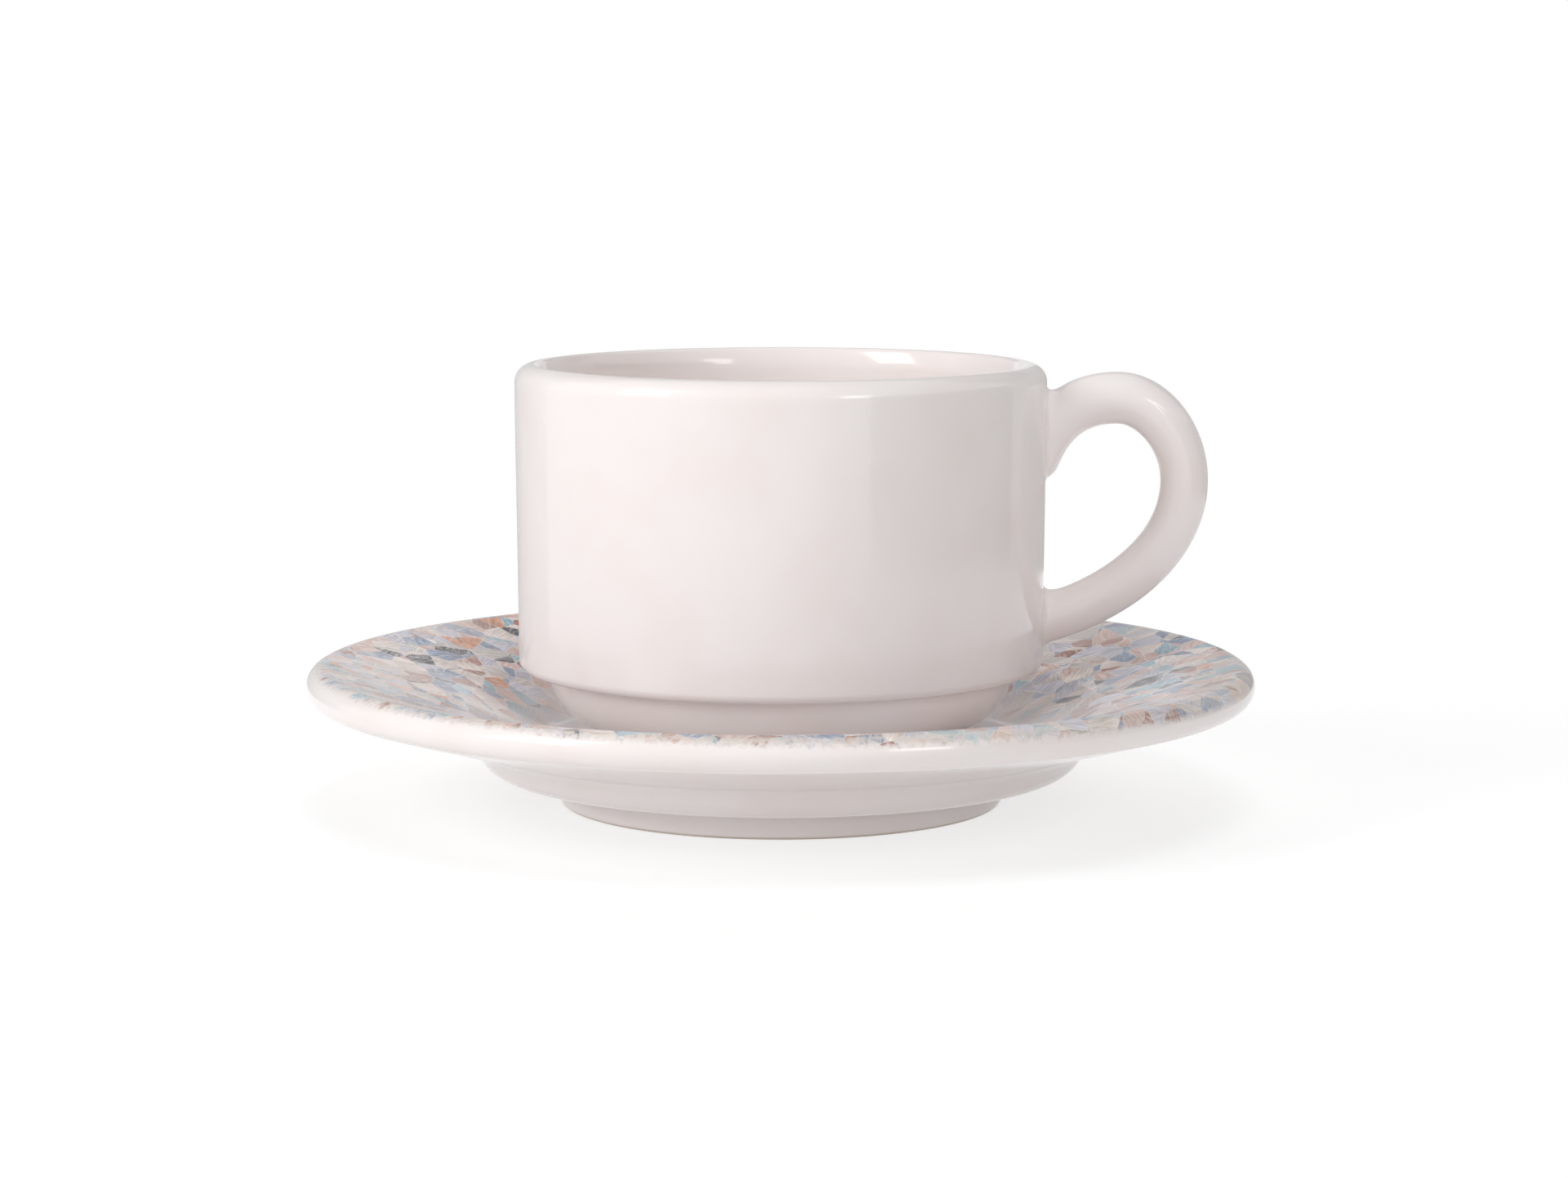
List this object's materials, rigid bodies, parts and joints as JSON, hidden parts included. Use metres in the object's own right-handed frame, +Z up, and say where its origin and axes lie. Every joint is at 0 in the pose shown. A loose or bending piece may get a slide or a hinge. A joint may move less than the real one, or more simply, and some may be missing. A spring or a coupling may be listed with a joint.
{
  "type": "stackable cup with saucer",
  "caption": "Straight-sided stacking tea cup with a loop handle and a stepped, rounded base, standing in the well of a wide-rimmed printed saucer on a foot ring.",
  "frame": {"origin": "centre of the saucer's foot ring, on the table it stands on", "axes": "+Z up along the common axis of the cup and the saucer, +X towards the cup's handle"},
  "size_m": [0.1498, 0.1498, 0.0696],
  "materials": {
    "ivory_glaze": "glossy warm ivory glaze, unglazed on the foot ring's base",
    "printed_glaze": "glossy ivory glaze over a faded broken-tile print on the upper face"
  },
  "bodies": {
    "saucer": {"saucer": "printed_glaze"},
    "cup": {"cup_body": "ivory_glaze", "cup_handle": "ivory_glaze"}
  },
  "joints": [
    {"name": "cup_lift", "type": "slide", "parent": "saucer", "child": "cup", "axis": [0, 0, 1], "range_m": [0, 0.12]}
  ]
}
